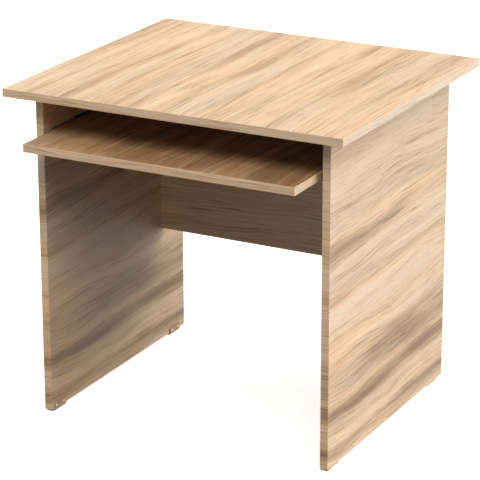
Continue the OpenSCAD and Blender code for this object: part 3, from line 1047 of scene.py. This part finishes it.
def dowel_mesh(radius, length):
    """A fluted dowel along +Z, chamfered at both ends."""
    end_r = radius - DOWEL_CHAMFER
    profile = [(0.0, 0.0), (end_r, 0.0), (radius, DOWEL_CHAMFER), (radius, length - DOWEL_CHAMFER),
               (end_r, length), (0.0, length)]
    return turned(profile, around=4 * DOWEL_FLUTES,
                  carve=lambda angle, height: FLUTE_DEPTH / 2 * (1 - math.cos(DOWEL_FLUTES * angle)))


dowel_boxes = loose_boxes("wooden_dowels")
for name, along in (("upright_dowels", "Z"), ("crosswise_dowels", "X")):
    axis = "XYZ".index(along)
    way = Vector([float(i == axis) for i in range(3)])
    boxes = [box for box in dowel_boxes if (box[1] - box[0])[axis] == max(box[1] - box[0])]
    low, high = boxes[0]
    length, radius = (high - low)[axis], (high - low).y / 2
    places = [set_at((low + high) / 2 - way * length / 2, way) for low, high in boxes]
    make_piece(name, dowel_mesh(radius, length), places, "desk", ["wooden_dowels"],
               beech_finish("beech_" + name, along))

# %% [markdown]
# ## Roller slides
#
# Each slide is two strips of steel folded into rails. A folded corner isn't sharp: the sheet bends
# round a small radius, and that soft highlight is what makes sheet metal look like sheet metal.
# So a rail is drawn as the path that the sheet takes in cross-section, given its thickness, with
# the corners rounded, and pulled out along its length. Punched slots follow, as a maker leaves for
# other screw positions, with stop tabs on the rail that is fixed to the panel.

# %% Fold the rails
SHEET = 1.2 * MM
BEND = 1.0 * MM
SLOT_COUNT = 4
SLOT_L = 9.0 * MM
SLOT_W = 4.4 * MM
PIN_R = 2.0 * MM


def folded_section(path):
    """The outline of a sheet that follows a path of (across, up) points with rounded bends."""
    points = rounded(path, BEND + SHEET / 2, steps=5, closed=False)
    sides = ([], [])
    for i, point in enumerate(points):
        before, after = points[max(i - 1, 0)], points[min(i + 1, len(points) - 1)]
        along = (after - before).normalized()
        square_on = Vector((-along.y, along.x)) * SHEET / 2
        sides[0].append(point + square_on)
        sides[1].append(point - square_on)
    return sides[0] + sides[1][::-1]


TO_SLIDE = Matrix(((1, 0, 0, 0), (0, 0, 1, 0), (0, 1, 0, 0), (0, 0, 0, 1)))


def pulled(section, front, rear):
    """Pulls an (across, up) outline along the desk from front to rear."""
    return moved(pressed(section, front, rear), TO_SLIDE)


def slot_cutters(front, rear, across, up, on_edge):
    """Cutters for a row of slots along a rail, through an upright or a level sheet."""
    span = (rear - front) / (SLOT_COUNT + 1)
    lie = Matrix.Rotation(math.pi / 2, 4, "Y") if on_edge else Matrix.Identity(4)
    cutter = pressed(oblong_outline(SLOT_L, SLOT_W), -2 * SHEET, 2 * SHEET)
    return [moved(cutter, Matrix.Translation((across, front + span * (i + 1), up)) @ lie)
            for i in range(SLOT_COUNT)]


def hole_cutters(nodes, radius, sheet_at):
    """Cutters for the holes that the left side's screws and pins pass through."""
    cutters = []
    for node in nodes:
        for low, high in loose_boxes(node):
            centre = (low + high) / 2
            if centre.x > 0:
                continue
            upright = (high - low).z > (high - low).x
            if upright:
                place, turned_to = (centre.x + panel_face, centre.y, sheet_at), Matrix.Identity(4)
            else:
                place, turned_to = (sheet_at, centre.y, centre.z), Matrix.Rotation(math.pi / 2, 4, "Y")
            hole = pressed(disc_outline(radius), -2 * SHEET, 2 * SHEET)
            cutters.append(moved(hole, Matrix.Translation(place) @ turned_to))
    return cutters


def both_meshes(*meshes):
    """Joins meshes into one."""
    shape = bmesh.new()
    for mesh in meshes:
        shape.from_mesh(mesh)
    return as_mesh(shape, "joined")


print("the sheet is", SHEET / MM, "mm thick and bends round", BEND / MM, "mm")

# %% [markdown]
# The rail on the panel is a channel. Its upper flange starts a little behind the front end, where
# the fixed roller needs the room. Both sides of the desk share one mesh, which is mirrored for the
# right.

# %% Fold the panel rails
panel_face = -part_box("left_side_panel")[1].x
AT_SIDES = {
    "left": Matrix.Translation((-panel_face, 0, 0)),
    "right": Matrix.Translation((panel_face, 0, 0)) @ Matrix.Scale(-1, 4, (1, 0, 0)),
}

low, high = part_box("left_cabinet_rail")
channel_w, channel_mid = high.x - low.x, (low.z + high.z) / 2
half_sheet = SHEET / 2
floor_up = low.z + half_sheet
LIP_H = 2.5 * MM
ROOF_W = 8.6 * MM
ROOF_START = 30 * MM
SLOTS_START = 38 * MM
channel = folded_section([
    (ROOF_W, high.z - half_sheet),
    (half_sheet, high.z - half_sheet),
    (half_sheet, floor_up),
    (channel_w - half_sheet, floor_up),
    (channel_w - half_sheet, floor_up + half_sheet + LIP_H),
])
notch = pressed(box_outline(channel_w * 2, 2 * ROOF_START, channel_w + SHEET, low.y),
                high.z - 3 * SHEET, high.z + SHEET)
web_cuts = slot_cutters(low.y + SLOTS_START, high.y - SLOTS_START, 0.0, channel_mid, on_edge=True)
web_cuts += hole_cutters(["cabinet_rail_screws"], SHANK_R, half_sheet)
web_cuts += hole_cutters(["front_roller_pins"], PIN_R, half_sheet)
channel_mesh = carved(pulled(channel, low.y, high.y), [notch] + web_cuts)
print("channel sheet is", round(channel_w / MM, 1), "mm wide and", round((high - low).z / MM, 1), "mm high")

# %% [markdown]
# The slide must stop before a roller runs off its rail. Two folded tabs do that: the rear roller
# meets one when the tray is pulled right out and the other when it is pushed home. We take their
# places from how far the tray's joint lets the roller travel.

# %% Add the stops
STOP_H = 7 * MM
STOP_GAP = 0.5 * MM
STOP_CORNER = 1.5 * MM
TAB_GAP = 0.2 * MM
slide = next(joint for joint in frame["joints"] if joint["name"] == "tray_slide")
furthest_in, furthest_out = slide["range_m"]
roller_low, roller_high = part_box("left_rear_roller")
front_stop = roller_low.y - furthest_out - STOP_GAP - SHEET
rear_stop = roller_high.y - furthest_in + STOP_GAP
tab_right = channel_w - SHEET - TAB_GAP
tab_top = floor_up + STOP_H
tab = rounded([(SHEET, floor_up), (tab_right, floor_up), (tab_right, tab_top), (SHEET, tab_top)],
              STOP_CORNER)
stops = [pulled(tab, place, place + SHEET) for place in (front_stop, rear_stop)]
for side, place in AT_SIDES.items():
    make_piece(f"{side}_folded_channel", both_meshes(channel_mesh, *stops), [place], "desk",
               [f"{side}_cabinet_rail"], COATED_STEEL)
print("stops at", [round(place / MM, 1) for place in (front_stop, rear_stop)])

# %% [markdown]
# The tray's rail is bent twice, like a step. Its upper flange runs on the fixed roller, and the tray
# rests on its lower one, screwed from below.

# %% Fold the tray's rails
TRAY_WEB_IN = 8.9 * MM
low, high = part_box("left_tray_rail")
flange_across, under_across = low.x + panel_face, high.x + panel_face
web_across = flange_across + TRAY_WEB_IN + half_sheet
under_w = under_across - web_across
angle_section = folded_section([
    (flange_across, high.z - half_sheet),
    (web_across, high.z - half_sheet),
    (web_across, low.z + half_sheet),
    (under_across, low.z + half_sheet),
])
tray_cuts = slot_cutters(low.y + SLOTS_START, high.y - SLOTS_START, under_across - under_w / 2,
                         low.z + half_sheet, on_edge=False)
tray_cuts += hole_cutters(["tray_rail_screws"], SHANK_R, low.z + half_sheet)
tray_cuts += hole_cutters(["rear_roller_pins"], PIN_R, web_across)
angle_mesh = carved(pulled(angle_section, low.y, high.y), tray_cuts)
for side, place in AT_SIDES.items():
    make_piece(f"{side}_folded_angle", angle_mesh, [place], "tray",
               [f"{side}_tray_rail"], COATED_STEEL)

# %% [markdown]
# ## Rollers and their pins
#
# A roller is moulded nylon: a rim, a hub and a thin web between them with holes that save material
# and keep it from warping.

# %% Make the rollers
ROLLER_PLAY = 0.05 * MM
HUB_R = 3.5 * MM
RIM = 2.2 * MM
ROLLER_CORNER = 0.4 * MM
ROLLER_HOLES = 6
ROLLER_HOLE_R = 1.0 * MM
# A small turn keeps the holes' corners off the roller's own lines, where slivers would form.
FIRST_HOLE = math.radians(2)


def roller_mesh(radius, width):
    """A roller along +Z that starts at the origin."""
    bore, inside = PIN_R + ROLLER_PLAY, radius - RIM
    web_low, web_high = width * 0.3, width * 0.7
    outline = rounded([
        (bore, 0), (HUB_R, 0), (HUB_R, web_low), (inside, web_low), (inside, 0), (radius, 0),
        (radius, width), (inside, width), (inside, web_high), (HUB_R, web_high), (HUB_R, width),
        (bore, width),
    ], ROLLER_CORNER)
    hole_at = (HUB_R + inside) / 2
    holes = []
    for i in range(ROLLER_HOLES):
        angle = FIRST_HOLE + 2 * math.pi * i / ROLLER_HOLES
        disc = disc_outline(ROLLER_HOLE_R, hole_at * math.cos(angle), hole_at * math.sin(angle), around=16)
        holes.append(pressed(disc, -width, 2 * width))
    return carved(turned(outline, around=64, ring=True), holes)


for side in ("left", "right"):
    for end in ("front", "rear"):
        node = f"{side}_{end}_roller"
        low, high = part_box(node)
        centre = (low + high) / 2
        radius, width = (high - low).z / 2, (high - low).x
        start = centre - inwards(centre) * width / 2
        make_piece(f"{side}_{end}_nylon_roller", roller_mesh(radius, width),
                   [set_at(start, inwards(centre))], node, [node], NYLON)

# %% [markdown]
# A pin's root is riveted into the sheet. A collar keeps the roller clear of the sheet, and a domed
# head keeps it on. The front pins stand on the panel's rails, and the rear ones on the tray's.

# %% Make the pins


def pin_mesh(length, head_first):
    """A riveted pin along +Z: a shank, a collar at one end and a domed head at the other."""
    head, collar = 3.5 * MM, 3.0 * MM
    dome, shoulder = 0.6 * MM, 0.9 * MM
    mesh = turned([
        (0.0, length),
        (head * 0.5, length),
        (head * 0.85, length - dome * 0.3),
        (head, length - dome * 0.8),
        (head * 0.97, length - dome),
        (PIN_R, length - dome),
        (PIN_R, SHEET + shoulder),
        (collar, SHEET + shoulder),
        (collar, SHEET),
        (PIN_R, SHEET),
        (PIN_R, 0.0),
        (0.0, 0.0),
    ])
    end_over_end = Matrix.Translation((0, 0, length)) @ Matrix.Rotation(math.pi, 4, "X")
    return moved(mesh, end_over_end) if head_first else mesh


for name, node, body, head_first in (("front_rivet_pins", "front_roller_pins", "desk", False),
                                     ("rear_rivet_pins", "rear_roller_pins", "tray", True)):
    places = []
    for low, high in loose_boxes(node):
        centre = (low + high) / 2
        length = (high - low).x
        places.append(set_at(centre - inwards(centre) * length / 2, inwards(centre)))
    make_piece(name, pin_mesh(length, head_first), places, body, [node], ZINC_STEEL)

# %% [markdown]
# ## Glides
#
# Each side panel stands on two moulded glides, which wrap under its edge and are screwed to its
# inner face. The CAD solid already has the right shape, so we copy it, weld its faces together and
# soften every edge with a bevel, as any moulded part comes out of its tool.

# %% Make the glides
GLIDE_BEVEL = 0.35 * MM
SHARP_FROM = math.radians(40)
for side in ("left", "right"):
    for end in ("front", "rear"):
        node = f"{side}_{end}_foot"
        shape = bmesh.new()
        shape.from_mesh(NODES[node].data)
        bmesh.ops.remove_doubles(shape, verts=shape.verts, dist=MERGE)
        bmesh.ops.dissolve_limit(shape, angle_limit=math.radians(1), verts=shape.verts, edges=shape.edges)
        sharp = [edge for edge in shape.edges
                 if edge.is_manifold and edge.calc_face_angle() > SHARP_FROM]
        bmesh.ops.bevel(shape, geom=sharp, offset=GLIDE_BEVEL, segments=2, profile=0.5, affect="EDGES",
                        clamp_overlap=True)
        make_piece(f"{side}_{end}_glide", as_mesh(shape, "glide"), [Matrix.Identity(4)], "desk", [node],
                   GLIDE_PLASTIC)

# %% [markdown]
# ## The floor and the backdrop
#
# A plain pale floor runs far out to a round pale backdrop, so every direction looks as clean as
# the first. Both glow a little, as a sheet lit from below does, which keeps the desk's shadow
# light. Neither throws light back onto the desk: a studio stops that with black flags, and here it
# is a switch on the object.

# %% Lay the floor and hang the backdrop
STUDIO_R = 28.0
BACKDROP_H = 20.0
FLOOR_GAP = 0.1 * MM


def paper_finish(name, first, second, glow):
    """Plain paper that glows a little."""
    finish = Finish(name)
    speckle = finish.noise(finish.place, scale=60.0, detail=3.0)
    finish.set(Base_Color=finish.mix(speckle, first, second), Roughness=0.9,
               Emission_Color=(*WHITE, 1.0), Emission_Strength=glow)
    return finish.material


def stage_piece(name, profile, material):
    """A round piece of the studio, which takes no part in lighting the desk."""
    piece = bpy.data.objects.new(name, turned(profile, around=64))
    piece.data.materials.append(material)
    piece.location.z = cad_low.z - FLOOR_GAP
    piece.visible_diffuse = False
    piece.visible_shadow = False
    bpy.context.scene.collection.objects.link(piece)
    piece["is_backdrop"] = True


stage_piece("floor", [(0.0, 0.0), (STUDIO_R, 0.0)],
            paper_finish("floor_paper", paint("DAD9D7"), paint("DDDCDA"), 0.7))
stage_piece("backdrop", [(STUDIO_R, -0.1), (STUDIO_R, BACKDROP_H)],
            paper_finish("backdrop_paper", paint("4A4A4A"), paint("505050"), 0.9))
print("floor laid at", round(cad_low.z, 4), "with a backdrop at", STUDIO_R, "m")

# %% [markdown]
# ## The sizes
#
# Last, the overall size of the finished pieces is printed, as the CAD model's was at the start,
# so that the two can be compared.

# %% Print the sizes
low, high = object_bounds()
print("visual size in mm:", [round(size / MM, 1) for size in high - low])
